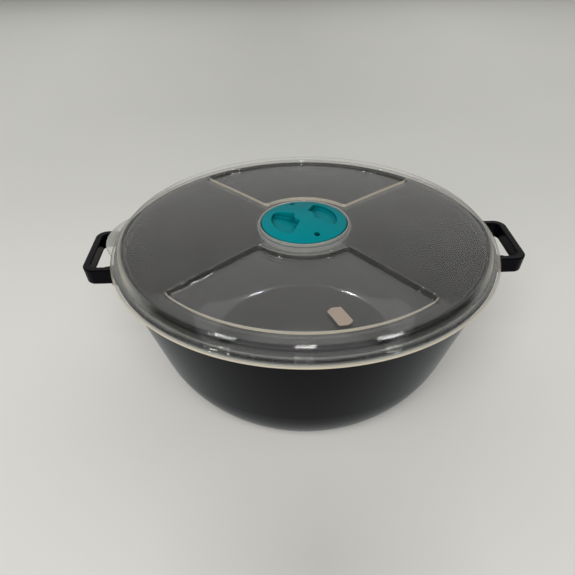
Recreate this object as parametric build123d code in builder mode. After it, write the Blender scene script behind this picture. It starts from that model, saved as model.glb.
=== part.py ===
"""Lidded bowl with a twist vent dial in the lid.

A black bowl with two strap handles carries a translucent lid. A teal dial sits
in a cup in the middle of the lid and turns to open or close two steam ports.

Frame: millimetres, +Z up, origin on the bowl's axis at the level of its foot,
handles on the X axis.
"""

import os
from math import cos, radians, sin, tan

from build123d import *

os.makedirs("parts", exist_ok=True)

# ---- Bowl ----------------------------------------------------------------
BOWL_WALL = 2.3
FOOT_R = 96.3               # outer radius of the foot ring
FOOT_WIDTH = 3.3
FOOT_EDGE_R = 0.5
FOOT_RISE = 6.0             # the foot ring's inner face, above the underside
FOOT_LEAN = 1.5
FLOOR_TOP = 3.4             # level of the inner floor
FLOOR_FLAT_R = 66.0         # the inner floor starts to curve up here
WALL_BREAK_R = 114.4        # the straight upper wall ends here
WALL_BREAK_Z = 32.0
WALL_TOP_R = 135.2          # outside of the wall just under the rim
WALL_TOP_Z = 98.0
RIM_TOP_Z = 102.0           # the lid rests at this level
RIM_LIP_R = 137.6           # turned-out edge of the rim
RIM_LIP_THICKNESS = 2.0
RIM_EDGE_R = 0.7

# ---- Handles ---------------------------------------------------------------
HANDLE_TOP_Z = 96.0
HANDLE_HEIGHT = 12.4
HANDLE_REACH = 159.1        # outer face at the top, from the bowl's axis
HANDLE_LENGTH = 57.0
STRAP = 5.2                 # the loop's width at the top
STRAP_SKIN = 2.4            # the loop is only this thick below its inner edge
STRAP_INNER_HEIGHT = 7.5
HANDLE_CORNER_R = 9.0
HANDLE_GAP_CORNER_R = 5.0
HANDLE_ROOT_R = 8.0
HANDLE_ROOT_OVERLAP = 2.0   # how far a root's block reaches into its arm
HANDLE_DRAFT = 7.0          # degrees, narrowing downwards
HANDLE_EDGE_R = 1.0

# ---- Lid -------------------------------------------------------------------
LID_TURN = -4.8             # how the lid happens to sit on the bowl, degrees
LID_SKIN = 1.7
LID_CROWN_Z = 114.2         # where the domed top would meet the axis
LID_EDGE_Z = 109.9          # the dome's level at the shoulder
SHOULDER_R = 131.3
SHOULDER_MID_R = 133.9      # a point half-way round the shoulder
SHOULDER_MID_Z = 108.6
SHOULDER_FOOT_R = 134.9
FLANGE_Z = 104.6
FLANGE_FALL = 0.6           # the flange slopes down this much to the skirt
SKIRT_TOP_R = 138.4
SKIRT_R = 140.3
SKIRT_Z = 99.8
SKIRT_SKIN = 1.6
SKIRT_ROOT = 0.5            # how far inside the skirt's top its inner face starts
PLUG_R = 132.1              # ring that reaches down inside the bowl's mouth
PLUG_SKIN = 1.6
PLUG_Z = 97.2
PLUG_ROOT_R = 2.6           # the curve where the plug ring meets the dome's underside
PLUG_ROOT_MID = (0.7, 0.8)  # a point on that curve, inwards and downwards
PANEL_INNER_R = 42.5
PANEL_OUTER_R = 119.6
PANEL_SPAN = 90.0
PANEL_DEPTH = 3.6
PANEL_CORNER_R = 3.0
PANEL_MARGIN = 8.0          # how far the panels' tools reach past their walls
DOME_MIDDLE_R = 80.0        # arcs that follow the dome pass through it here
PANEL_FOOT_R = 1.0
ROOT_R = 0.8                # at the foot of the collar and of the shoulder
SKIRT_TOP_EDGE_R = 1.0
TAB_REACH = 147.0
TAB_CURVE_R = 44.6
TAB_THICKNESS = 1.6
COLLAR_R = 33.1
CUP_R = 31.7
COLLAR_TOP_Z = 115.5
CUP_FLOOR_Z = 107.0
CUP_FLOOR_SKIN = 1.7
CUP_EDGE_R = 1.2
COLLAR_EDGE_R = 0.6
LIP_EDGE_R = 0.7            # on the skirt and the plug ring

# ---- Vent dial -------------------------------------------------------------
DIAL_TURN = 20.0            # finger wells' azimuth at rest
DIAL_R = 31.1
DIAL_RIM_Z = 115.5
DIAL_DOME_Z = 121.0
DIAL_SKIN = 1.7
DIAL_FOOT_Z = 108.4
DIAL_EDGE_R = 0.9           # width of the dial's rounded rim
DIAL_EDGE_FALL = 0.8        # its height
DIAL_EDGE_MID = (0.22, 0.12)  # a point on it, inwards and downwards
DIAL_CUT = 1.0              # how far the hollow's tool reaches below the dial
WELL_INNER_R = 7.5
WELL_OUTER_R = 23.6
WELL_SPAN = 93.0
WELL_FLOOR_Z = 114.6
WELL_CORNER_R = 2.6
WELL_FOOT_R = 1.2
WELL_EDGE_R = 0.6
WELL_WALL_SPAN = 105.0      # the well's block inside the shell
WELL_WALL_INNER_R = 4.0
HUB_R = 6.0
HUB_CLEARANCE = 0.05
VENT_RING_R = 24.2          # steam holes and ports lie on this circle
VENT_HOLE_R = 2.0
VENT_TUBE_R = 3.6
VENT_PORT_R = 2.4
VENT_TRAVEL = 90.0          # the dial's whole travel, degrees
VENT_OPEN = -23.3           # dial angle, from rest, where holes meet ports
LUG_RING_R = 13.5
LUG_R = 1.4
LUG_SLACK = 0.2

# ---- Seal, retainer and label ------------------------------------------------
SEAL_THICKNESS = 1.0
SEAL_INNER_R = 18.0
SEAL_OUTER_R = 30.4
PIN_R = 4.2
PIN_LENGTH = 3.0
RETAINER_R = 11.0
RETAINER_HEIGHT = 4.4
RETAINER_EDGE_R = 1.2
RETAINER_GAP = 0.3
LABEL_SIDE = 14.1           # its straight long sides
LABEL_WIDTH = 9.6
LABEL_POINT = (9.05, 0.8)   # the corner in the middle of its pointed ends
LABEL_CORNER_R = 0.5
LABEL_THICKNESS = 0.2
LABEL_RING_R = 104.4
LABEL_AZIMUTH = -81.5
LABEL_LEAN = -65.3          # direction of the label's long side

FRONT_AZIMUTH = -90.0 + LID_TURN
BACK_AZIMUTH = 90.0 + LID_TURN
HOLE_AZIMUTHS = (BACK_AZIMUTH - VENT_OPEN, FRONT_AZIMUTH - VENT_OPEN)
LUG_AZIMUTH = FRONT_AZIMUTH - VENT_OPEN
RETAINER_TOP_Z = CUP_FLOOR_Z - CUP_FLOOR_SKIN - RETAINER_GAP


def dome(crown, edge, reach):
    """The height, as a function of radius, of a spherical cap from its crown to its edge."""
    rise = crown - edge
    ball = (reach ** 2 + rise ** 2) / (2 * rise)
    return lambda radius: crown - ball + (ball ** 2 - radius ** 2) ** 0.5


lid_top = dome(LID_CROWN_Z, LID_EDGE_Z, SHOULDER_R)
dial_top = dome(DIAL_DOME_Z, DIAL_RIM_Z, DIAL_R)


def sector(inner, outer, span, corner):
    """A ring sector with rounded corners, centred on the X axis of its plane."""
    half = radians(span / 2)
    reach = 2 * outer
    with BuildSketch() as shape:
        Circle(outer)
        Circle(inner, mode=Mode.SUBTRACT)
        with BuildLine():
            Polyline((0, 0), (reach * cos(half), -reach * sin(half)),
                     (reach * cos(half), reach * sin(half)), close=True)
        make_face(mode=Mode.INTERSECT)
        fillet(shape.vertices(), corner)
    return shape.sketch


def edges_on(builder, top, near, far):
    """The edges of a part that lie on a domed face, between two radii."""
    tolerance = 0.05

    def is_on(edge):
        middle = edge @ 0.5
        radius = (middle.X ** 2 + middle.Y ** 2) ** 0.5
        return near < radius < far and abs(middle.Z - top(radius)) < tolerance

    return builder.edges().filter_by(is_on)


def polar(radius, azimuth):
    """A point at a radius and an azimuth in degrees."""
    return (radius * cos(radians(azimuth)), radius * sin(radians(azimuth)))


def turned(azimuth, level):
    """A horizontal plane at a level, turned so that its X axis points along azimuth."""
    return Plane.XY.rotated((0, 0, azimuth)).offset(level)


def save(part, name):
    part.label = name
    export_step(part, f"parts/{name}.step")


# ---- Bowl: one revolved section ------------------------------------------------
wall_slope = (WALL_TOP_R - WALL_BREAK_R) / (WALL_TOP_Z - WALL_BREAK_Z)
wall_level_width = BOWL_WALL * (1 + wall_slope ** 2) ** 0.5
rim_r = WALL_TOP_R + wall_slope * (RIM_TOP_Z - WALL_TOP_Z)
corner_r = WALL_TOP_R - wall_level_width - wall_slope * (WALL_TOP_Z - FLOOR_TOP)
curve_length = corner_r - FLOOR_FLAT_R
wall_run = (1 + wall_slope ** 2) ** 0.5
curve_end = (corner_r + curve_length * wall_slope / wall_run,
             FLOOR_TOP + curve_length / wall_run)
underside_z = FLOOR_TOP - BOWL_WALL
foot_root = (FOOT_R - FOOT_WIDTH - FOOT_LEAN, underside_z + FOOT_RISE)

with BuildPart() as bowl:
    with BuildSketch(Plane.XZ):
        with BuildLine():
            Line((0, underside_z), (FLOOR_FLAT_R, underside_z))
            TangentArc((FLOOR_FLAT_R, underside_z), foot_root, tangent=(1, 0))
            Polyline(foot_root, (FOOT_R - FOOT_WIDTH, 0), (FOOT_R, 0))
            wall = Line((WALL_BREAK_R, WALL_BREAK_Z), (WALL_TOP_R, WALL_TOP_Z))
            TangentArc(wall @ 0, (FOOT_R, 0), tangent=-(wall % 0))
            Polyline(wall @ 1, (rim_r - wall_slope * RIM_LIP_THICKNESS, RIM_TOP_Z - RIM_LIP_THICKNESS),
                     (RIM_LIP_R, RIM_TOP_Z - RIM_LIP_THICKNESS), (RIM_LIP_R, RIM_TOP_Z),
                     (rim_r - wall_level_width, RIM_TOP_Z), curve_end)
            TangentArc(curve_end, (FLOOR_FLAT_R, FLOOR_TOP), tangent=(-wall_slope, -1))
            Polyline((FLOOR_FLAT_R, FLOOR_TOP), (0, FLOOR_TOP), (0, underside_z))
        make_face()
    revolve(axis=Axis.Z)
    rim_edges = bowl.edges().filter_by(GeomType.CIRCLE).filter_by(
        lambda edge: edge.radius > RIM_LIP_R - 0.1)
    fillet(rim_edges, RIM_EDGE_R)
    foot_edges = bowl.edges().filter_by(GeomType.CIRCLE).group_by(Axis.Z)[0]
    fillet(foot_edges, FOOT_EDGE_R)
save(bowl.part, "bowl")

# The solid that the bowl's outside fills, to trim the handles' roots.
with BuildPart() as bowl_outside:
    with BuildSketch(Plane.XZ):
        with BuildLine():
            Polyline((0, 0), (0, RIM_TOP_Z), (rim_r, RIM_TOP_Z),
                     (WALL_BREAK_R, WALL_BREAK_Z), (FOOT_R, 0), (0, 0))
        make_face()
    revolve(axis=Axis.Z)


# ---- Handles: a strap bent into a loop -----------------------------------------
def handle(side, name):
    """A strap loop on one side of the bowl; side is 1 for +X and -1 for -X."""
    inside_r = WALL_BREAK_R

    def plan(level, inset, corner):
        """The loop's outline at a level, drawn in by inset, from inside the bowl outwards."""
        reach = HANDLE_REACH - inset
        with BuildSketch(Plane.XY.offset(level)) as outline:
            with Locations((side * (inside_r + reach) / 2, 0)):
                Rectangle(reach - inside_r, HANDLE_LENGTH - 2 * inset)
            outer_end = outline.vertices().group_by(Axis.X)[-1 if side > 0 else 0]
            fillet(outer_end, corner)
        return outline.sketch

    inner_z = HANDLE_TOP_Z - STRAP_INNER_HEIGHT
    inner_inset = STRAP_INNER_HEIGHT * tan(radians(HANDLE_DRAFT)) + STRAP_SKIN
    with BuildPart() as loop:
        extrude(plan(HANDLE_TOP_Z, 0, HANDLE_CORNER_R), amount=-HANDLE_HEIGHT, taper=HANDLE_DRAFT)
        extrude(plan(HANDLE_TOP_Z, STRAP, HANDLE_GAP_CORNER_R), amount=-HANDLE_HEIGHT, mode=Mode.SUBTRACT)
        level_edges = loop.edges().filter_by(Plane.XY)
        fillet(level_edges.filter_by(lambda edge: abs(edge.center().X) > inside_r + 1), HANDLE_EDGE_R)
        extrude(plan(inner_z, inner_inset, HANDLE_GAP_CORNER_R), amount=-HANDLE_HEIGHT, taper=HANDLE_DRAFT,
                mode=Mode.SUBTRACT)
        # Concave roots on both sides of each arm, where it leaves the wall.
        blocks = []
        circles = []
        for face_y, out in ((HANDLE_LENGTH / 2 - STRAP, -1), (HANDLE_LENGTH / 2, 1)):
            centre_y = face_y + out * HANDLE_ROOT_R
            wall_x = (WALL_TOP_R ** 2 - centre_y ** 2) ** 0.5
            block_y = (centre_y + face_y - out * HANDLE_ROOT_OVERLAP) / 2
            blocks += [(side * wall_x, end * block_y) for end in (-1, 1)]
            circles += [(side * (wall_x + HANDLE_ROOT_R), end * centre_y) for end in (-1, 1)]
        with BuildSketch(Plane.XY.offset(HANDLE_TOP_Z)):
            with Locations(*blocks):
                Rectangle(2 * HANDLE_ROOT_R, HANDLE_ROOT_R + HANDLE_ROOT_OVERLAP)
            with Locations(*circles):
                Circle(HANDLE_ROOT_R, mode=Mode.SUBTRACT)
        extrude(amount=-HANDLE_HEIGHT)
        add(bowl_outside.part, mode=Mode.SUBTRACT)
    save(loop.part, name)


handle(-1, "handle_left")
handle(1, "handle_right")

# ---- Lid: one moulding -----------------------------------------------------------
panel_plan = sector(PANEL_INNER_R, PANEL_OUTER_R, PANEL_SPAN, PANEL_CORNER_R)


def dome_layer(upper, lower):
    """A ring that follows the lid's dome under the panels, from upper to lower below its face."""
    near, middle, far = PANEL_INNER_R - PANEL_MARGIN, DOME_MIDDLE_R, PANEL_OUTER_R + PANEL_MARGIN
    with BuildPart() as layer:
        with BuildSketch(Plane.XZ):
            with BuildLine():
                top = ThreePointArc(*[(r, lid_top(r) - upper) for r in (near, middle, far)])
                bottom = ThreePointArc(*[(r, lid_top(r) - lower) for r in (near, middle, far)])
                Line(top @ 1, bottom @ 1)
                Line(bottom @ 0, top @ 0)
            make_face()
        revolve(axis=Axis.Z)
    return layer.part


# The space above a panel's floor, inside its walls.
with BuildPart() as panel_space:
    add(dome_layer(-PANEL_DEPTH, PANEL_DEPTH))
    with BuildSketch(Plane.XY.offset(PLUG_Z)):
        add(panel_plan)
    extrude(amount=2 * (COLLAR_TOP_Z - PLUG_Z), mode=Mode.INTERSECT)
    floor_edges = panel_space.faces().sort_by(Axis.Z)[0].edges()
    fillet(floor_edges, PANEL_FOOT_R)

# The block that a panel is sunk into: its floor and walls are what the space leaves of it.
with BuildPart() as panel_block:
    add(dome_layer(0, PANEL_DEPTH + LID_SKIN))
    with BuildSketch(Plane.XY.offset(PLUG_Z)):
        add(panel_plan)
        offset(amount=LID_SKIN, mode=Mode.REPLACE)
    extrude(amount=2 * (COLLAR_TOP_Z - PLUG_Z), mode=Mode.INTERSECT)

# The main section: cup wall, domed top, shoulder, flange, skirt and plug ring.
skirt_top_z = FLANGE_Z - FLANGE_FALL
plug_inner_r = PLUG_R - PLUG_SKIN
under_z = LID_EDGE_Z - LID_SKIN
with BuildPart() as lid:
    with BuildSketch(Plane.XZ) as section:
        with BuildLine():
            Line((CUP_R, CUP_FLOOR_Z), (CUP_R, COLLAR_TOP_Z))
            Line((CUP_R, COLLAR_TOP_Z), (COLLAR_R, COLLAR_TOP_Z))
            Line((COLLAR_R, COLLAR_TOP_Z), (COLLAR_R, lid_top(COLLAR_R)))
            dome_middle = (DOME_MIDDLE_R, lid_top(DOME_MIDDLE_R))
            ThreePointArc((COLLAR_R, lid_top(COLLAR_R)), dome_middle, (SHOULDER_R, LID_EDGE_Z))
            ThreePointArc((SHOULDER_R, LID_EDGE_Z), (SHOULDER_MID_R, SHOULDER_MID_Z),
                          (SHOULDER_FOOT_R, FLANGE_Z))
            Polyline((SHOULDER_FOOT_R, FLANGE_Z), (SKIRT_TOP_R, skirt_top_z), (SKIRT_R, SKIRT_Z),
                     (SKIRT_R - SKIRT_SKIN, SKIRT_Z), (SKIRT_TOP_R - SKIRT_ROOT, RIM_TOP_Z),
                     (PLUG_R, RIM_TOP_Z), (PLUG_R, PLUG_Z), (plug_inner_r, PLUG_Z),
                     (plug_inner_r, FLANGE_Z))
            ThreePointArc((plug_inner_r, FLANGE_Z),
                          (plug_inner_r - PLUG_ROOT_MID[0], under_z - PLUG_ROOT_MID[1]),
                          (plug_inner_r - PLUG_ROOT_R, under_z))
            ThreePointArc((plug_inner_r - PLUG_ROOT_R, under_z),
                          (DOME_MIDDLE_R, lid_top(DOME_MIDDLE_R) - LID_SKIN),
                          (COLLAR_R, lid_top(COLLAR_R) - LID_SKIN))
            Polyline((COLLAR_R, lid_top(COLLAR_R) - LID_SKIN), (COLLAR_R, CUP_FLOOR_Z - CUP_FLOOR_SKIN),
                     (HUB_R + HUB_CLEARANCE, CUP_FLOOR_Z - CUP_FLOOR_SKIN),
                     (HUB_R + HUB_CLEARANCE, CUP_FLOOR_Z), (CUP_R, CUP_FLOOR_Z))
        make_face()
        for corner, radius in (
            ((COLLAR_R, COLLAR_TOP_Z), COLLAR_EDGE_R),
            ((CUP_R, COLLAR_TOP_Z), COLLAR_EDGE_R),
            ((COLLAR_R, lid_top(COLLAR_R)), ROOT_R),
            ((SHOULDER_FOOT_R, FLANGE_Z), ROOT_R),
            ((SKIRT_TOP_R, skirt_top_z), SKIRT_TOP_EDGE_R),
            ((SKIRT_R, SKIRT_Z), LIP_EDGE_R),
            ((SKIRT_R - SKIRT_SKIN, SKIRT_Z), LIP_EDGE_R),
            ((PLUG_R, PLUG_Z), LIP_EDGE_R),
            ((plug_inner_r, PLUG_Z), LIP_EDGE_R),
            ((COLLAR_R, CUP_FLOOR_Z - CUP_FLOOR_SKIN), CUP_EDGE_R),
        ):
            fillet(section.vertices().sort_by_distance(corner)[0], radius)
    revolve(axis=Axis.Z)
    # Stepped-down panels, front and back.
    for azimuth in (FRONT_AZIMUTH, BACK_AZIMUTH):
        add(panel_block.part.rotate(Axis.Z, azimuth))
    for azimuth in (FRONT_AZIMUTH, BACK_AZIMUTH):
        add(panel_space.part.rotate(Axis.Z, azimuth), mode=Mode.SUBTRACT)
    # Lift tab: a shallow thin segment at the foot of the skirt.
    with BuildSketch(turned(180 + LID_TURN, SKIRT_Z)):
        with Locations((TAB_REACH - TAB_CURVE_R, 0)):
            Circle(TAB_CURVE_R)
        Circle(SKIRT_R - SKIRT_SKIN / 2, mode=Mode.SUBTRACT)
        with Locations((0, 0)):
            Rectangle(2 * SKIRT_TOP_R, 4 * TAB_CURVE_R, mode=Mode.SUBTRACT)
    extrude(amount=TAB_THICKNESS)
    # Steam ports and the arc slot for the dial's stop lug, through the cup floor.
    with BuildSketch(Plane.XY.offset(CUP_FLOOR_Z)):
        for azimuth in (FRONT_AZIMUTH, BACK_AZIMUTH):
            with Locations(polar(VENT_RING_R, azimuth)):
                Circle(VENT_PORT_R)
        slot_start = LUG_AZIMUTH + VENT_OPEN
        arc = CenterArc((0, 0), LUG_RING_R, slot_start, VENT_TRAVEL)
        SlotArc(arc, 2 * (LUG_R + LUG_SLACK))
    extrude(amount=-CUP_FLOOR_SKIN, mode=Mode.SUBTRACT)
save(lid.part, "lid")

# ---- Vent dial: a domed shell with two finger wells ----------------------------------
well_plan = sector(WELL_INNER_R, WELL_OUTER_R, WELL_SPAN, WELL_CORNER_R)
well_wall_plan = sector(WELL_WALL_INNER_R, WELL_OUTER_R + DIAL_SKIN, WELL_WALL_SPAN, WELL_CORNER_R)

# The space inside the shell, around the hub and below the wells.
with BuildPart() as dial_hollow:
    with BuildSketch(Plane.XZ):
        with BuildLine():
            inner_r = DIAL_R - DIAL_SKIN
            Line((HUB_R, DIAL_FOOT_Z - DIAL_CUT), (HUB_R, dial_top(HUB_R) - DIAL_SKIN))
            ThreePointArc(*[(r, dial_top(r) - DIAL_SKIN) for r in (HUB_R, DIAL_R / 2, inner_r)])
            Polyline((inner_r, dial_top(inner_r) - DIAL_SKIN), (inner_r, DIAL_FOOT_Z - DIAL_CUT),
                     (HUB_R, DIAL_FOOT_Z - DIAL_CUT))
        make_face()
    revolve(axis=Axis.Z)
    for azimuth in (DIAL_TURN, DIAL_TURN + 180):
        with BuildSketch(turned(azimuth, WELL_FLOOR_Z - DIAL_SKIN)):
            add(well_wall_plan)
        extrude(amount=DIAL_DOME_Z - WELL_FLOOR_Z, mode=Mode.SUBTRACT)
    with BuildSketch(Plane.XY.offset(DIAL_FOOT_Z - DIAL_CUT)):
        for azimuth in HOLE_AZIMUTHS:
            with Locations(polar(VENT_RING_R, azimuth)):
                Circle(VENT_TUBE_R)
    extrude(amount=DIAL_DOME_Z - DIAL_FOOT_Z, mode=Mode.SUBTRACT)

with BuildPart() as vent_dial:
    with BuildSketch(Plane.XZ):
        with BuildLine():
            rim_foot = (DIAL_R, DIAL_RIM_Z - DIAL_EDGE_FALL)
            rim_top = (DIAL_R - DIAL_EDGE_R, dial_top(DIAL_R - DIAL_EDGE_R))
            Polyline((0, DIAL_FOOT_Z), (DIAL_R, DIAL_FOOT_Z), rim_foot)
            ThreePointArc(rim_foot, (DIAL_R - DIAL_EDGE_MID[0], DIAL_RIM_Z - DIAL_EDGE_MID[1]), rim_top)
            ThreePointArc(rim_top, (DIAL_R / 2, dial_top(DIAL_R / 2)), (0, DIAL_DOME_Z))
            Line((0, DIAL_DOME_Z), (0, DIAL_FOOT_Z))
        make_face()
    revolve(axis=Axis.Z)
    add(dial_hollow.part, mode=Mode.SUBTRACT)
    for azimuth in (DIAL_TURN, DIAL_TURN + 180):
        with BuildSketch(turned(azimuth, WELL_FLOOR_Z)):
            add(well_plan)
        extrude(amount=DIAL_DOME_Z - WELL_FLOOR_Z, mode=Mode.SUBTRACT)
        well_floor = vent_dial.faces().filter_by(Plane.XY).filter_by(
            lambda face: abs(face.center().Z - WELL_FLOOR_Z) < 0.01)
    fillet(well_floor.edges(), WELL_FOOT_R)
    fillet(edges_on(vent_dial, dial_top, WELL_INNER_R - 1, WELL_OUTER_R + 1), WELL_EDGE_R)
    # Steam holes down through their tubes.
    with BuildSketch(Plane.XY.offset(DIAL_FOOT_Z)):
        for azimuth in HOLE_AZIMUTHS:
            with Locations(polar(VENT_RING_R, azimuth)):
                Circle(VENT_HOLE_R)
    extrude(amount=DIAL_DOME_Z - DIAL_FOOT_Z, mode=Mode.SUBTRACT)
    # Hub, pin and stop lug below.
    with BuildSketch(Plane.XY.offset(DIAL_FOOT_Z)):
        Circle(HUB_R)
    extrude(amount=RETAINER_TOP_Z - DIAL_FOOT_Z)
    with BuildSketch(Plane.XY.offset(RETAINER_TOP_Z)):
        Circle(PIN_R)
    extrude(amount=-PIN_LENGTH)
    lug_foot_z = CUP_FLOOR_Z - CUP_FLOOR_SKIN
    with BuildSketch(Plane.XY.offset(lug_foot_z)):
        with Locations(polar(LUG_RING_R, LUG_AZIMUTH)):
            Circle(LUG_R)
    extrude(amount=dial_top(LUG_RING_R) - DIAL_SKIN / 2 - lug_foot_z)
save(vent_dial.part, "vent_dial")

# ---- Seal: a soft washer between the cup floor and the dial's steam tubes --------------
with BuildPart() as vent_seal:
    with BuildSketch(Plane.XY.offset(CUP_FLOOR_Z)):
        Circle(SEAL_OUTER_R)
        Circle(SEAL_INNER_R, mode=Mode.SUBTRACT)
        for azimuth in (FRONT_AZIMUTH, BACK_AZIMUTH):
            with Locations(polar(VENT_RING_R, azimuth)):
                Circle(VENT_PORT_R, mode=Mode.SUBTRACT)
    extrude(amount=SEAL_THICKNESS)
save(vent_seal.part, "vent_seal")

# ---- Retainer: a snap cap pressed on the pin, below the cup floor -----------------------
with BuildPart() as dial_retainer:
    with BuildSketch(Plane.XY.offset(RETAINER_TOP_Z)):
        Circle(RETAINER_R)
    extrude(amount=-RETAINER_HEIGHT)
    fillet(dial_retainer.edges().group_by(Axis.Z)[0], RETAINER_EDGE_R)
    with BuildSketch(Plane.XY.offset(RETAINER_TOP_Z)):
        Circle(PIN_R)
    extrude(amount=-PIN_LENGTH, mode=Mode.SUBTRACT)
save(dial_retainer.part, "dial_retainer")

# ---- Label: a thin plain sticker with pointed ends on the front panel ------------------------
with BuildPart() as blank_label:
    add(dome_layer(PANEL_DEPTH - LABEL_THICKNESS, PANEL_DEPTH))
    label_plane = Plane((*polar(LABEL_RING_R, LABEL_AZIMUTH), PLUG_Z)).rotated((0, 0, LABEL_LEAN))
    with BuildSketch(label_plane) as label_plan:
        with BuildLine():
            end = ((LABEL_SIDE / 2, -LABEL_WIDTH / 2), LABEL_POINT, (LABEL_SIDE / 2, LABEL_WIDTH / 2))
            Polyline(*end, *((-x, -y) for x, y in end), close=True)
        make_face()
        fillet(label_plan.vertices(), LABEL_CORNER_R)
    extrude(amount=COLLAR_TOP_Z - PLUG_Z, mode=Mode.INTERSECT)
save(blank_label.part, "blank_label")
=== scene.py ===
"""Looks for the lidded bowl: materials, studio, camera and the detailed lid."""

from math import acos, atan2, cos, hypot, pi, radians, sin

import bmesh
import bpy
from mathutils import Matrix, Vector


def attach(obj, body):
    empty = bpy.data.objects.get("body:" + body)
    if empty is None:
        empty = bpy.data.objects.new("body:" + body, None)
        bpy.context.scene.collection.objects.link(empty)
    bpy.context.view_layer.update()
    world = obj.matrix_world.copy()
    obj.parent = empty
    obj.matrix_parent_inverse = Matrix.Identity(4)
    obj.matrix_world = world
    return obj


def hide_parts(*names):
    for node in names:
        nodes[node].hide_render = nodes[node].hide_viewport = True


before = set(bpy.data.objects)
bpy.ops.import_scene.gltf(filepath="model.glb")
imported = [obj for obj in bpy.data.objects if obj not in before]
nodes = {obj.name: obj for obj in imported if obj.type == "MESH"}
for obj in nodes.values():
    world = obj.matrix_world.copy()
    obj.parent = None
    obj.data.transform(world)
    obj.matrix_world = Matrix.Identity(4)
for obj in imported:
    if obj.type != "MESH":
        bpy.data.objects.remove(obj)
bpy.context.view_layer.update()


# ---- Small helpers --------------------------------------------------------------
class Nodes:
    """A material's node tree, with short calls to add and link nodes."""

    def __init__(self, name):
        self.material = bpy.data.materials.new(name)
        self.material.use_nodes = True
        self.tree = self.material.node_tree
        self.tree.nodes.clear()
        self.output = self.tree.nodes.new("ShaderNodeOutputMaterial")

    def add(self, kind, inputs=None, **settings):
        node = self.tree.nodes.new("ShaderNode" + kind)
        for key, value in settings.items():
            setattr(node, key, value)
        for key, value in (inputs or {}).items():
            socket = node.inputs[key]
            if isinstance(value, bpy.types.NodeSocket):
                self.tree.links.new(value, socket)
            else:
                socket.default_value = value
        return node

    def math(self, operation, first, second=0.0, clamp=False):
        node = self.add("Math", {0: first, 1: second}, operation=operation)
        node.use_clamp = clamp
        return node.outputs[0]

    def ramp(self, value, low, high, start=0.0, end=1.0):
        """value mapped from low..high to start..end, clamped."""
        node = self.add("MapRange", {"Value": value, "From Min": low, "From Max": high,
                                     "To Min": start, "To Max": end})
        return node.outputs[0]

    def noise(self, place, scale, detail, distortion=0.0):
        """Smooth noise, 0.5 on average, with a scale in features per metre."""
        return self.add("TexNoise", {"Vector": place, "Scale": scale, "Detail": detail,
                                     "Distortion": distortion}).outputs["Fac"]

    def mirror(self, facing, rise, head_on):
        """The share of light mirrored: head_on, plus a rise towards grazing views."""
        return self.math("ADD", self.math("MULTIPLY", self.math("POWER", facing, 5.0), rise), head_on,
                         clamp=True)

    def finish(self, surface):
        self.tree.links.new(surface, self.output.inputs["Surface"])
        return self.material


def colour(hexadecimal):
    """A linear colour from an sRGB hex string."""
    parts = [int(hexadecimal[i:i + 2], 16) / 255 for i in (0, 2, 4)]
    return [p / 12.92 if p <= 0.04045 else ((p + 0.055) / 1.055) ** 2.4 for p in parts] + [1.0]


def brighter(base, gain):
    """A colour with its channels times gain."""
    return [c * gain for c in base[:3]] + [1.0]


def paint(node, material):
    """Gives a CAD node one material."""
    nodes[node].data.materials.clear()
    nodes[node].data.materials.append(material)


def share(value, low, high):
    """How far value has come from low to high, kept between 0 and 1."""
    return min(max((value - low) / (high - low), 0), 1)


def near(value, centre, reach):
    """1 at the centre, falling to 0 at reach from it."""
    return max(0.0, 1 - abs(value - centre) / reach)


# ---- Materials --------------------------------------------------------------------
GLOSS_SPREAD = 0.06         # how far roughness drifts either way on moulded plastic
# Painted shade: narrow hollows are painted darker, out to this reach.
PAINTED_SHADE_REACH = 0.006        # a hollow narrower than about this, in metres, looks darker


def moulded(name, base, roughness, grain, grain_scale, level=0.5, painted_hollow_shade=1.0):
    """Moulded plastic with a fine grain, slow changes of gloss and faint marks.

    level is the specular level, and the last argument is how bright painted shade leaves the inside
    of a narrow recess.
    """
    n = Nodes(name)
    place = n.add("TexCoord").outputs["Object"]
    fine = n.noise(place, grain_scale, 3.0)
    slow = n.noise(place, 18.0, 4.0)
    smear = n.noise(place, 70.0, 6.0, 1.5)
    gloss = n.math("ADD", n.ramp(slow, 0.3, 0.7, roughness - GLOSS_SPREAD, roughness + GLOSS_SPREAD),
                   n.ramp(smear, 0.4, 0.7, -GLOSS_SPREAD / 2, GLOSS_SPREAD / 2))
    tone = n.add("MixRGB", {"Fac": n.ramp(slow, 0.35, 0.65), "Color1": base,
                            "Color2": brighter(base, 1.18)}).outputs[0]
    bump = n.add("Bump", {"Height": fine, "Strength": grain, "Distance": 0.0002}).outputs[0]
    # Painted shade: the colour is darkened inside narrow hollows, from ambient occlusion.
    if painted_hollow_shade < 1:
        open_air = n.add("AmbientOcclusion", {"Distance": PAINTED_SHADE_REACH}, samples=8).outputs["AO"]
        shade = n.ramp(open_air, 0.25, 0.9, painted_hollow_shade, 1.0)
        tone = n.add("VectorMath", {0: tone, "Scale": shade}, operation="SCALE").outputs[0]
    shader = n.add("BsdfPrincipled", {"Base Color": tone, "Roughness": gloss, "Normal": bump})
    shader.inputs["Specular IOR Level"].default_value = level
    return n.finish(shader.outputs[0])


GRAZING = 0.06              # haze stops growing when the view is this close to grazing
FROST_THINS = 0.8           # the most haze that frost takes off the clear skin
FROST_DULLS = 0.75          # the share of its mirroring that a frosted face keeps
LIT_THROUGH = 0.45          # the share of the haze that is lit from behind


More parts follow.
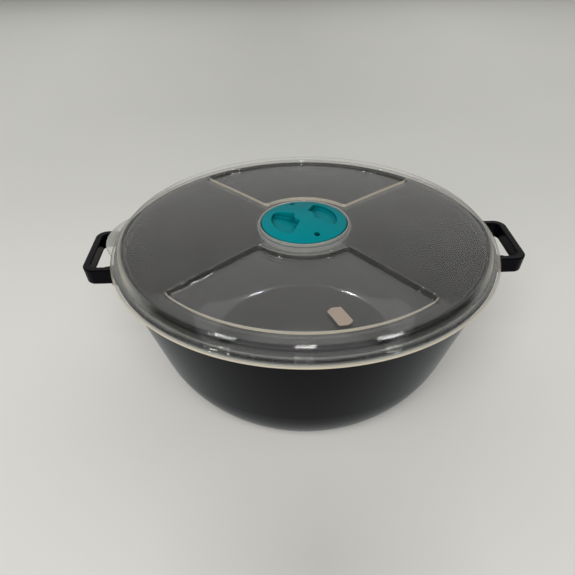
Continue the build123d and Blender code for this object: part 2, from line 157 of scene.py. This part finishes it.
def milky_plastic(name, tint, milk_tint, clear_haze, milk_haze, polished, frosted):
    """See-through plastic that is hazy where its mesh has milk, which holds real cloudiness and
    painted glow, and matt where it has frost.

    clear_haze and milk_haze are the haze of the clear skin and of full milk. polished and
    frosted are the roughness of the two kinds of face.
    """
    n = Nodes(name)
    place = n.add("TexCoord").outputs["Object"]
    # Milk holds real cloudiness and painted glow.
    milk_and_painted_glow = n.add("Attribute", attribute_name="milk_and_painted_glow").outputs["Fac"]
    frost = n.add("Attribute", attribute_name="frost").outputs["Fac"]
    slow = n.noise(place, 9.0, 5.0)
    cloud = n.ramp(n.noise(place, 40.0, 6.0), 0.3, 0.7)
    ripple = n.math("MULTIPLY", n.math("SUBTRACT", n.noise(place, 220.0, 2.0), 0.5), 0.08)
    bump = n.add("Bump", {"Height": ripple, "Strength": 0.12, "Distance": 0.0001}).outputs[0]

    mixed = n.add("MixRGB", {"Fac": n.ramp(milk_and_painted_glow, 0.5, 1.0), "Color1": tint,
                             "Color2": milk_tint}).outputs[0]
    body = n.add("BsdfDiffuse", {"Color": mixed, "Normal": bump}).outputs[0]
    through = n.add("BsdfTranslucent", {"Color": mixed, "Normal": bump}).outputs[0]
    cloudy = n.add("MixShader", {0: LIT_THROUGH, 1: body, 2: through}).outputs[0]
    clear = n.add("BsdfTransparent").outputs[0]

    facing = n.add("LayerWeight", {"Blend": 0.5, "Normal": bump}).outputs["Facing"]
    across = n.math("MAXIMUM", n.math("SUBTRACT", 1.0, facing), GRAZING)
    haze = n.math("MULTIPLY", n.ramp(slow, 0.3, 0.7, 0.8, 1.2), clear_haze)
    thinner = n.math("MULTIPLY", frost, n.math("MULTIPLY", cloud, clear_haze * FROST_THINS))
    haze = n.math("DIVIDE", n.math("SUBTRACT", haze, thinner), across)
    haze = n.math("ADD", haze, n.math("MULTIPLY", milk_and_painted_glow, milk_haze), clamp=True)
    plastic = n.add("MixShader", {0: haze, 1: clear, 2: cloudy}).outputs[0]

    kept = n.ramp(frost, 0.0, 1.0, 1.0, FROST_DULLS)
    mirror = n.math("MULTIPLY", n.mirror(facing, 0.96, 0.04), kept)
    rough = n.math("ADD", n.ramp(slow, 0.3, 0.7, polished * 0.8, polished * 1.2),
                   n.math("MULTIPLY", frost, frosted - polished))
    gloss = n.add("BsdfGlossy", {"Roughness": rough, "Normal": bump}).outputs[0]
    return n.finish(n.add("MixShader", {0: mirror, 1: plastic, 2: gloss}).outputs[0])


INSIDE_POLISH = 0.36        # how much less rough the bowl's inside is than its outside


def bowl_plastic(name, base):
    """Black plastic, satin outside and polished inside, with soft handling marks."""
    n = Nodes(name)
    place = n.add("TexCoord").outputs["Object"]
    up = n.add("SeparateXYZ", {"Vector": n.add("NewGeometry").outputs["True Normal"]}).outputs[2]
    inside = n.ramp(up, -0.05, 0.05)
    fine = n.noise(place, 2600.0, 2.0)
    slow = n.noise(place, 14.0, 4.0)
    smear = n.noise(place, 60.0, 6.0, 1.5)
    outer = n.math("ADD", n.ramp(slow, 0.3, 0.7, 0.40, 0.48), n.ramp(smear, 0.4, 0.7, -0.03, 0.03))
    rough = n.math("ADD", n.math("MULTIPLY", inside, -INSIDE_POLISH), outer)
    grain = n.math("MULTIPLY", n.math("SUBTRACT", 1.0, inside), fine)
    bump = n.add("Bump", {"Height": grain, "Strength": 0.3, "Distance": 0.0001}).outputs[0]
    tone = n.add("MixRGB", {"Fac": n.ramp(slow, 0.35, 0.65), "Color1": base,
                            "Color2": brighter(base, 1.3)}).outputs[0]
    body = n.add("BsdfDiffuse", {"Color": tone, "Normal": bump}).outputs[0]
    gloss = n.add("BsdfGlossy", {"Color": colour("f6f9ff"), "Roughness": rough,
                                 "Normal": bump}).outputs[0]
    facing = n.add("LayerWeight", {"Blend": 0.5, "Normal": bump}).outputs["Facing"]
    mirror = n.mirror(facing, 0.55, n.ramp(inside, 0.0, 1.0, 0.002, 0.04))
    return n.finish(n.add("MixShader", {0: mirror, 1: body, 2: gloss}).outputs[0])


handle_black = moulded("handle_plastic", colour("07070c"), roughness=0.28, grain=0.12,
                       grain_scale=1800.0, level=0.05)
# The dial gets painted shade in its wells and vent holes.
dial_teal = moulded("dial_plastic", colour("007880"), roughness=0.5, grain=0.2,
                    grain_scale=2600.0, level=0.05, painted_hollow_shade=0.15)
dark_silicone = moulded("seal_silicone", colour("3a3a3c"), roughness=0.6, grain=0.2,
                        grain_scale=1500.0, level=0.2)
plain_paper = moulded("label_paper", colour("9b8d82"), roughness=0.75, grain=0.5,
                      grain_scale=900.0)
lid_plastic = milky_plastic("lid_plastic", tint=colour("d2d4cf"), milk_tint=colour("e6dac4"),
                            clear_haze=0.012, milk_haze=0.95, polished=0.07, frosted=0.48)
paint("bowl", bowl_plastic("bowl_plastic", colour("080809")))
paint("handle_left", handle_black)
paint("handle_right", handle_black)
paint("vent_dial", dial_teal)
paint("dial_retainer", dial_teal)
paint("vent_seal", dark_silicone)
paint("blank_label", plain_paper)


# ---- The lid: one moulding, built as a mesh. Lengths are in mm until MM scales them -----
MM = 0.001
LID_TURN = radians(-4.8)
CROWN_Z, DOME_EDGE_Z, DOME_EDGE_R = 114.2, 109.9, 131.3
SKIN = 1.7
PANEL_IN_R, PANEL_OUT_R, PANEL_HALF = 42.5, 119.6, radians(45)
PANEL_CORNER_R, PANEL_DEPTH = 3.0, 3.6
WALL_HEAD, WALL_FOOT = 0.35, 1.05   # the panel wall's S-curve starts and ends here, about its line
FIELD = 9.0                         # a distance from a panel that is well clear of its wall
CUP_R, COLLAR_R, COLLAR_Z, COLLAR_EDGE_R = 31.7, 33.1, 115.5, 0.6
CUP_FLOOR_Z, CUP_BOTTOM_Z = 107.0, 105.3
CUP_CLEAR_Z, CUP_MILKY_Z = 108.6, 109.4     # the cup's wall turns milky between these heights
CUP_FLOOR_R = CUP_R + 0.6           # the floor's disc ends inside the cup's wall
HUB_HOLE_R, PORT_RING_R, PORT_R = 6.05, 24.2, 2.4
SLOT_RING_R, SLOT_R, SLOT_SPAN = 13.5, 1.6, radians(90)
SHOULDER_R, SHOULDER_CORNER_R = 3.6, 133.6  # its fillet, and where the dome and its side would meet
SHOULDER_FOOT_R, FLANGE_Z = 134.9, 104.6
SKIRT_TOP_R, SKIRT_TOP_Z, SKIRT_TOP_FILLET_R = 138.4, 104.0, 1.0
SKIRT_R, SKIRT_Z, SKIRT_INNER_R = 140.3, 99.8, 138.7
SEAT_Z, SEAT_OUT_R, SEAT_FILLET_R = 102.0, 137.9, 0.3
PLUG_R, PLUG_INNER_R, PLUG_Z, PLUG_ROOT_R = 132.1, 130.5, 97.2, 2.2
TAB_REACH, TAB_CURVE_R, TAB_TOP_Z = 147.0, 44.6, 101.4
TAB_ROOT_R = SKIRT_INNER_R + 0.6
LIP_R, ROOT_R = 0.7, 0.8
WALL_STEP, BESIDE_STEP, FIELD_STEP = 0.15, 0.45, 5.5    # row spacing in, beside and away from walls
# Degrees from the line of a panel's straight wall, each with the step up to the next.
WALL_AZIMUTHS = ((-5.0, 0.5), (-1.5, 0.2), (-0.5, 0.07), (1.05, 0.2), (3.0, 0))

CUP_MILK, CUP_FLOOR_MILK, INNER_EDGE_PAINTED_GLINT, FLANGE_MILK, SHOULDER_PAINTED_GLOW = 0.50, 0.1, 0.45, 0.4, 0.85
# Painted shade: panel walls that face the front keep only this little milk, so they stay dark.
DARK_WALL_MILK = 0.05       # what is left on panel walls that face the front
TAB_MILK, TAB_EDGE_MILK = 0.3, 0.4
PROBE = 0.001               # a small step for measuring a slope


def dome_z(radius):
    """The height of the lid's domed face at a radius."""
    rise = CROWN_Z - DOME_EDGE_Z
    ball = (DOME_EDGE_R ** 2 + rise ** 2) / (2 * rise)
    return CROWN_Z - ball + (ball ** 2 - radius ** 2) ** 0.5


def from_panel(azimuth):
    """The angle from the nearest panel's middle."""
    return abs((azimuth - LID_TURN) % pi - pi / 2)


def panel_side(radius, azimuth):
    """The signed distance to the nearest panel's outline, negative inside it."""
    across = radius * sin(max(from_panel(azimuth) - PANEL_HALF, -pi / 2)) + PANEL_CORNER_R
    along = max(PANEL_IN_R - radius, radius - PANEL_OUT_R) + PANEL_CORNER_R
    return hypot(max(across, 0), max(along, 0)) + min(max(across, along), 0) - PANEL_CORNER_R


def side_slope(radius, azimuth):
    """How the distance from the panel's outline grows towards +Y."""
    x, y = radius * cos(azimuth), radius * sin(azimuth) + PROBE
    return (panel_side(hypot(x, y), atan2(y, x)) - panel_side(radius, azimuth)) / PROBE


def sunk(side):
    """How far the face is sunk at a signed distance from the panel's outline."""
    t = share(-side, -WALL_HEAD, WALL_FOOT)
    return PANEL_DEPTH * t * t * (3 - 2 * t)


def cloud_and_painted_glow(radius, azimuth, height, side, face):
    """How cloudy the plastic is here, with painted glow and shade on the panel walls, a painted glint
    on the inner edges and painted glow on the shoulder's sides, from 0 for the clear skin to 1.
    """
    milk_and_painted_glow = 0.0
    if face == "dome":
        # Painted glow: walls are cloudiest half way down, painted bright where they face the back as
        # if they catch the light, and left dim where they face the front.
        glow = share(-side_slope(radius, azimuth), -0.15, 0.25)
        wall = min(1.7 * near(side, (WALL_HEAD - WALL_FOOT) / 2, 1.25), 1.0)
        milk_and_painted_glow = wall * max(glow, DARK_WALL_MILK)
        # Painted glint: a bright line along the head of the panels' inner walls.
        if radius < PANEL_IN_R + 1.5:
            milk_and_painted_glow = max(milk_and_painted_glow, INNER_EDGE_PAINTED_GLINT * near(side, 0, WALL_HEAD))
    if radius < COLLAR_R + 0.4:
        milk_and_painted_glow = max(milk_and_painted_glow, CUP_MILK * share(height, CUP_CLEAR_Z, CUP_MILKY_Z))
    if radius > DOME_EDGE_R and height > SEAT_Z:
        # Painted glow: the thick shoulder is painted brighter towards both sides.
        aside = share(abs(cos(azimuth)), 0.7, 0.9)
        milk_and_painted_glow = max(milk_and_painted_glow, FLANGE_MILK * near(radius, SHOULDER_FOOT_R + 0.6, 0.9),
                   SHOULDER_PAINTED_GLOW * aside * near(radius, SHOULDER_CORNER_R - 0.2, 2.2) ** 0.5)
    if radius > SKIRT_INNER_R - 0.5:
        milk_and_painted_glow = max(milk_and_painted_glow, near(height, SKIRT_Z + 1.0, 2.0) ** 0.5)
    return milk_and_painted_glow


def frosting(radius, azimuth, side):
    """How matt the dome is here: 1 between the panels, fading out at every edge."""
    flat = share(side, 0, 1.5) * share(radius, COLLAR_R, COLLAR_R + 2)
    flat *= 1 - share(radius, DOME_EDGE_R - 2, DOME_EDGE_R)
    beside = radius * (from_panel(azimuth) - PANEL_HALF)
    blend = 3 + 1.8 * max(radius - PANEL_OUT_R, 0)
    return flat * share(beside, -0.3 * blend, 0.7 * blend)


def spread(*stops):
    """Values from stop to stop: each stop is (value, step up to the next stop)."""
    values = []
    for (start, step), (end, _) in zip(stops, stops[1:]):
        count = max(1, round((end - start) / step))
        values += [start + (end - start) * i / count for i in range(count)]
    return values + [stops[-1][0]]


def rounded(corners, steps=9):
    """A section's points with each corner (r, z, fillet radius) rounded off."""
    points = []
    for before, (x, z, radius), after in zip(corners, corners[1:], corners[2:]):
        corner = Vector((x, z))
        to_before = (Vector(before[:2]) - corner).normalized()
        to_after = (Vector(after[:2]) - corner).normalized()
        if radius == 0:
            points.append((x, z))
            continue
        half = to_before.angle(to_after) / 2
        centre = corner + (to_before + to_after).normalized() * radius / sin(half)
        start = corner + to_before * radius / (sin(half) / cos(half)) - centre
        end = corner + to_after * radius / (sin(half) / cos(half)) - centre
        for i in range(steps + 1):
            swing = start.slerp(end, i / steps).normalized() * radius
            points.append(tuple(centre + swing))
    return points


def cup_section():
    """The cup's inner wall, its collar and the root of the dome, as (radius, height) points."""
    root_end = COLLAR_R + 2 * ROOT_R
    below = [(CUP_R, z) for z in (CUP_BOTTOM_Z, CUP_FLOOR_Z, CUP_CLEAR_Z, CUP_MILKY_Z, 112.0)]
    return below + rounded([(CUP_R, CUP_BOTTOM_Z, 0),
                            (CUP_R, COLLAR_Z, COLLAR_EDGE_R),
                            (COLLAR_R, COLLAR_Z, COLLAR_EDGE_R),
                            (COLLAR_R, dome_z(COLLAR_R), ROOT_R),
                            (root_end, dome_z(COLLAR_R + ROOT_R), 0)])


def rim_section():
    """The shoulder, flange, skirt, seat and plug ring, as (radius, height) points."""
    dome_end, under_start = DOME_EDGE_R - 3, PLUG_INNER_R - 6
    return rounded([(dome_end, dome_z(dome_end), 0),
                    (SHOULDER_CORNER_R, dome_z(SHOULDER_CORNER_R), SHOULDER_R),
                    (SHOULDER_FOOT_R, FLANGE_Z, ROOT_R),
                    (SKIRT_TOP_R, SKIRT_TOP_Z, SKIRT_TOP_FILLET_R),
                    (SKIRT_R, SKIRT_Z, LIP_R),
                    (SKIRT_INNER_R, SKIRT_Z, LIP_R),
                    (SEAT_OUT_R, SEAT_Z, SEAT_FILLET_R),
                    (PLUG_R, SEAT_Z, SEAT_FILLET_R),
                    (PLUG_R, PLUG_Z, LIP_R),
                    (PLUG_INNER_R, PLUG_Z, LIP_R),
                    (PLUG_INNER_R, DOME_EDGE_Z - SKIN, PLUG_ROOT_R),
                    (under_start, dome_z(under_start) - SKIN, 0)])


def lid_rows():
    """The lid's section as (radius, height, face), where face is dome, under or plain."""
    head, foot = WALL_HEAD + 0.1, WALL_FOOT + 0.1
    rows = [(r, z, "plain") for r, z in cup_section()]
    radii = spread((COLLAR_R + 2 * ROOT_R + 0.5, 2.0),
                   (PANEL_IN_R - head, WALL_STEP), (PANEL_IN_R + foot, BESIDE_STEP),
                   (PANEL_IN_R + 4, FIELD_STEP), (PANEL_OUT_R - 4, BESIDE_STEP),
                   (PANEL_OUT_R - foot, WALL_STEP), (PANEL_OUT_R + head, 1.6),
                   (DOME_EDGE_R - 0.8, 0))
    rows += [(r, dome_z(r), "dome") for r in radii]
    rows += [(r, z, "plain") for r, z in rim_section()]
    inner, outer = PANEL_IN_R - SKIN, PANEL_OUT_R + SKIN
    radii = spread((COLLAR_R, 2.0),
                   (inner - head, WALL_STEP), (inner + foot, BESIDE_STEP),
                   (inner + 6, FIELD_STEP), (outer - 6, BESIDE_STEP),
                   (outer - foot, WALL_STEP), (outer + head, 1.2),
                   (PLUG_INNER_R - 3.2, 0))
    rows += [(r, dome_z(r) - SKIN, "under") for r in reversed(radii)]
    heights = (111.0, CUP_MILKY_Z, CUP_CLEAR_Z, CUP_FLOOR_Z, CUP_BOTTOM_Z)
    rows += [(COLLAR_R, z, "plain") for z in heights]
    return rows


def point(bm, radius, azimuth, z):
    """Adds a vertex at a radius, azimuth and height in mm."""
    return bm.verts.new((radius * cos(azimuth) * MM, radius * sin(azimuth) * MM, z * MM))


def lid_azimuths():
    """Azimuths round the lid, close together where the panels' straight walls run."""
    wall = [radians(a) for a in spread(*WALL_AZIMUTHS)]
    between = spread((PANEL_HALF + wall[-1], radians(2)), (pi - PANEL_HALF - wall[-1], 0))[1:-1]
    across_panel = spread((-PANEL_HALF - wall[0], radians(2)), (PANEL_HALF + wall[0], 0))[1:-1]
    azimuths = []
    for middle in (-pi / 2, pi / 2):
        azimuths += [middle - PANEL_HALF - a for a in reversed(wall)]
        azimuths += [middle + a for a in across_panel]
        azimuths += [middle + PANEL_HALF + a for a in wall]
        azimuths += [middle + a for a in between]
    return [a + LID_TURN for a in azimuths]


def ring_mesh(bm, milk_and_painted_glow, frost):
    """Adds the lid's turned body: its section's rows swept round all azimuths."""
    azimuths = lid_azimuths()
    grid = []
    for radius, height, face in lid_rows():
        line = []
        for azimuth in azimuths:
            side = FIELD
            if face != "plain":
                side = panel_side(radius, azimuth) - (SKIN if face == "under" else 0)
            z = height - sunk(side)
            vert = point(bm, radius, azimuth, z)
            vert[milk_and_painted_glow] = cloud_and_painted_glow(radius, azimuth, z, side, face)
            vert[frost] = frosting(radius, azimuth, side) if face != "plain" else 0.0
            line.append(vert)
        grid.append(line)
    for row, below in zip(grid, grid[1:] + grid[:1]):
        for i in range(len(azimuths)):
            j = (i + 1) % len(azimuths)
            bm.faces.new((row[i], row[j], below[j], below[i]))


def tab_mesh(bm, milk_and_painted_glow):
    """Adds the thin lift tab at the foot of the skirt."""
    centre = TAB_REACH - TAB_CURVE_R
    half = (TAB_TOP_Z - SKIRT_Z) / 2
    reach = acos((centre ** 2 + TAB_ROOT_R ** 2 - TAB_CURVE_R ** 2) / (2 * centre * TAB_ROOT_R))
    count, edge_steps, least = 40, 8, 0.02
    rings = []
    for i in range(count + 1):
        a = -reach + 2 * reach * i / count
        outer = centre * cos(a) + (TAB_CURVE_R ** 2 - (centre * sin(a)) ** 2) ** 0.5
        bead = min(half, max(outer - TAB_ROOT_R, least) / 2)
        section = [(TAB_ROOT_R, TAB_TOP_Z)]
        for k in range(edge_steps + 1):
            t = pi / 2 - pi * k / edge_steps
            section.append((outer - bead + bead * cos(t), SKIRT_Z + half + half * sin(t)))
        section.append((TAB_ROOT_R, SKIRT_Z))
        ring = []
        azimuth = pi + LID_TURN + a
        for radius, z in section:
            vert = point(bm, radius, azimuth, z)
            vert[milk_and_painted_glow] = TAB_MILK + TAB_EDGE_MILK * max(0.0, 1 - (outer - radius) / 1.6)
            ring.append(vert)
        rings.append(ring)
    for ring, following in zip(rings, rings[1:]):
        for k in range(len(ring)):
            m = (k + 1) % len(ring)
            bm.faces.new((ring[k], ring[m], following[m], following[k]))
    bm.faces.new(reversed(rings[0]))
    bm.faces.new(rings[-1])


def circle(radius, count, x=0, y=0):
    """Points round a circle."""
    turns = [2 * pi * i / count for i in range(count)]
    return [(x + radius * cos(t), y + radius * sin(t)) for t in turns]


def lug_slot(start, steps=16):
    """Points round the stop lug's curved slot: two arcs, each followed by a round end."""
    points = []
    for radius, way in ((SLOT_RING_R + SLOT_R, 1), (SLOT_RING_R - SLOT_R, -1)):
        for i in range(steps + 1):
            a = start + SLOT_SPAN * (i / steps if way > 0 else 1 - i / steps)
            points.append((radius * cos(a), radius * sin(a)))
        end = start + (SLOT_SPAN if way > 0 else 0)
        x, y = SLOT_RING_R * cos(end), SLOT_RING_R * sin(end)
        for i in range(1, steps):
            t = end + (0 if way > 0 else pi) + pi * i / steps
            points.append((x + SLOT_R * cos(t), y + SLOT_R * sin(t)))
    return points


def cup_floor():
    """The cup's floor as a mesh: a disc with the hub's hole, two steam ports and the lug's slot."""
    front = LID_TURN - pi / 2
    outlines = [circle(CUP_FLOOR_R, 128), circle(HUB_HOLE_R, 64)]
    for azimuth in (front, front + pi):
        outlines.append(circle(PORT_R, 32, PORT_RING_R * cos(azimuth), PORT_RING_R * sin(azimuth)))
    outlines.append(lug_slot(front))

    curve = bpy.data.curves.new("cup_floor", "CURVE")
    curve.dimensions = "2D"
    curve.fill_mode = "BOTH"
    curve.extrude = (CUP_FLOOR_Z - CUP_BOTTOM_Z) / 2 * MM
    for outline in outlines:
        spline = curve.splines.new("POLY")
        spline.points.add(len(outline) - 1)
        for spot, (x, y) in zip(spline.points, outline):
            spot.co = (x * MM, y * MM, 0, 1)
        spline.use_cyclic_u = True
    holder = bpy.data.objects.new("cup_floor", curve)
    bpy.context.scene.collection.objects.link(holder)
    mesh = bpy.data.meshes.new_from_object(holder)
    bpy.data.objects.remove(holder)
    mesh.transform(Matrix.Translation((0, 0, (CUP_FLOOR_Z + CUP_BOTTOM_Z) / 2 * MM)))
    return mesh


def lid_shell():
    """The whole lid as one piece that replaces the CAD node."""
    bm = bmesh.new()
    milk_and_painted_glow = bm.verts.layers.float.new("milk_and_painted_glow")
    frost = bm.verts.layers.float.new("frost")
    bm.from_mesh(cup_floor())
    bm.verts.ensure_lookup_table()
    for vert in bm.verts:
        vert[milk_and_painted_glow] = CUP_FLOOR_MILK
    ring_mesh(bm, milk_and_painted_glow, frost)
    tab_mesh(bm, milk_and_painted_glow)
    bmesh.ops.recalc_face_normals(bm, faces=bm.faces)
    mesh = bpy.data.meshes.new("lid_shell")
    bm.to_mesh(mesh)
    bm.free()
    mesh.shade_smooth()
    mesh.set_sharp_from_angle(angle=radians(50))
    mesh.materials.clear()
    mesh.materials.append(lid_plastic)
    shell = bpy.data.objects.new("lid_shell", mesh)
    bpy.context.scene.collection.objects.link(shell)
    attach(shell, "lid")
    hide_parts("lid")
    return shell


# ---- Studio. Lengths are in metres from here on -------------------------------------------
FLOOR_HALF = 3.0
FAR_TONE_Y, TONE_BLEND = 0.17, 0.10     # the floor turns a little darker about this line
# Painted shade on the floor's middle, in front of the object and behind it.
FRONT_PAINTED_SHADE, BEHIND_PAINTED_SHADE = 0.16, 0.14  # how much darker the floor's middle gets, in front and behind
LIGHT_AIM = Vector((0, 0, 0.11))


def floor():
    """One large pale floor with a mottled tone, darker towards the back, with painted shade on its
    middle in front and behind.
    """
    h = FLOOR_HALF
    mesh = bpy.data.meshes.new("floor")
    mesh.from_pydata([(-h, -h, 0), (h, -h, 0), (h, h, 0), (-h, h, 0)], [], [(0, 1, 2, 3)])
    ground = bpy.data.objects.new("floor", mesh)
    bpy.context.scene.collection.objects.link(ground)
    n = Nodes("floor_paper")
    place = n.add("TexCoord").outputs["Object"]
    x, y, _ = n.add("SeparateXYZ", {"Vector": place}).outputs
    off_middle = n.math("ABSOLUTE", x)
    mottle = n.noise(place, 5.0, 3.0)
    close = n.add("MixRGB", {"Fac": mottle, "Color1": colour("dcdcd9"), "Color2": colour("e2e2df")})
    far = n.add("MixRGB", {"Fac": mottle, "Color1": colour("d6d7d3"), "Color2": colour("dadad6")})
    back = n.ramp(y, FAR_TONE_Y - TONE_BLEND, FAR_TONE_Y + TONE_BLEND)
    tone = n.add("MixRGB", {"Fac": back, "Color1": close.outputs[0], "Color2": far.outputs[0]})
    # Painted shade: the floor's middle is darkened in front of the object and behind it.
    front = n.math("MULTIPLY", n.ramp(off_middle, 0.0, 0.10, 1.0, 0.0),
                   n.ramp(y, -0.19, -0.12, FRONT_PAINTED_SHADE, 0.0))
    behind = n.math("MULTIPLY", n.ramp(off_middle, 0.05, 0.45, 1.0, 0.0),
                    n.ramp(y, 0.25, 0.6, 0.0, BEHIND_PAINTED_SHADE))
    shade = n.math("SUBTRACT", 1.0, n.math("ADD", front, behind))
    tone = n.add("VectorMath", {0: tone.outputs[0], "Scale": shade}, operation="SCALE")
    mesh.materials.append(n.finish(n.add("BsdfDiffuse", {"Color": tone.outputs[0]}).outputs[0]))


def soft_light(name, direction, distance, size, power, mirrored_by=None):
    """A rectangular softbox that faces the lid's middle. size is its width and height.

    Given mirrored_by, it lights only that piece, and only as a reflection.
    """
    data = bpy.data.lights.new(name, "AREA")
    data.shape = "RECTANGLE"
    data.size, data.size_y = size
    data.energy = power
    data.color = colour("fdfbf8")[:3]
    light = bpy.data.objects.new(name, data)
    bpy.context.scene.collection.objects.link(light)
    away = Vector(direction).normalized()
    light.location = LIGHT_AIM + away * distance
    light.rotation_mode = "QUATERNION"
    light.rotation_quaternion = away.to_track_quat("Z", "Y")
    light.visible_camera = False
    if mirrored_by:
        light.visible_diffuse = False
        linked = bpy.data.collections.new(name + "_linked")
        linked.objects.link(mirrored_by)
        light.light_linking.receiver_collection = linked
    return light


def lights(shell):
    """Windows behind and in front, lamps overhead for the lid, tubes for the bowl's inside."""
    for name, direction in (("lamp_left", (-0.50, -0.06, 1.0)),
                            ("lamp_middle", (0.0, -0.19, 1.0)),
                            ("lamp_right", (0.52, -0.09, 1.0))):
        soft_light(name, direction, distance=1.6, size=(0.17, 0.26), power=13.0, mirrored_by=shell)
    for name, direction in (("tube_left", (0.10, 0.595, 0.785)),
                            ("tube_right", (-0.037, 0.595, 0.785))):
        soft_light(name, direction, distance=1.6, size=(0.05, 0.04), power=0.8,
                   mirrored_by=nodes["bowl"])
    soft_light("window_low", (0.0, 0.945, 0.326), distance=1.6, size=(2.6, 0.62), power=2.7)
    soft_light("window_high", (0.0, 0.72, 0.695), distance=1.6, size=(2.6, 0.80), power=6.8)
    front = soft_light("window_front", (-0.15, -0.85, 0.75), distance=2.2, size=(1.8, 1.8),
                       power=52.0)
    front.visible_glossy = False


def surroundings():
    """A dim, even room, shown without any tone mapping."""
    world = bpy.data.worlds.new("studio")
    world.use_nodes = True
    background = world.node_tree.nodes["Background"]
    background.inputs["Color"].default_value = colour("f4f5f2")
    background.inputs["Strength"].default_value = 0.20
    bpy.context.scene.world = world
    bpy.context.scene.view_settings.view_transform = "Standard"


# ---- Camera ------------------------------------------------------------------------------
CAMERA_PITCH = 35.27        # degrees below the horizon
CAMERA_HEADING = 1.5        # degrees from +Y towards +X
CAMERA_ROLL = -0.83
CAMERA_AIM = Vector((-0.0147, -0.0752, 0.110))
CAMERA_DISTANCE = 0.3693
CAMERA_LENS, SENSOR_WIDTH = 36.85, 36.0


def camera():
    """A camera that looks down at the lid from the front."""
    data = bpy.data.cameras.new("camera")
    data.lens, data.sensor_width = CAMERA_LENS, SENSOR_WIDTH
    data.clip_start = 0.01
    eye = bpy.data.objects.new("camera", data)
    bpy.context.scene.collection.objects.link(eye)
    pitch, heading, roll = (radians(a) for a in (CAMERA_PITCH, CAMERA_HEADING, CAMERA_ROLL))
    ahead = Vector((cos(pitch) * sin(heading), cos(pitch) * cos(heading), -sin(pitch)))
    level = Vector((cos(heading), -sin(heading), 0))
    up = level.cross(ahead)
    right = level * cos(roll) + up * sin(roll)
    up = right.cross(ahead)
    turn = Matrix((right, up, -ahead)).transposed()
    eye.matrix_world = Matrix.Translation(CAMERA_AIM - ahead * CAMERA_DISTANCE) @ turn.to_4x4()
    bpy.context.scene.camera = eye


detailed_lid = lid_shell()
floor()
lights(detailed_lid)
surroundings()
camera()
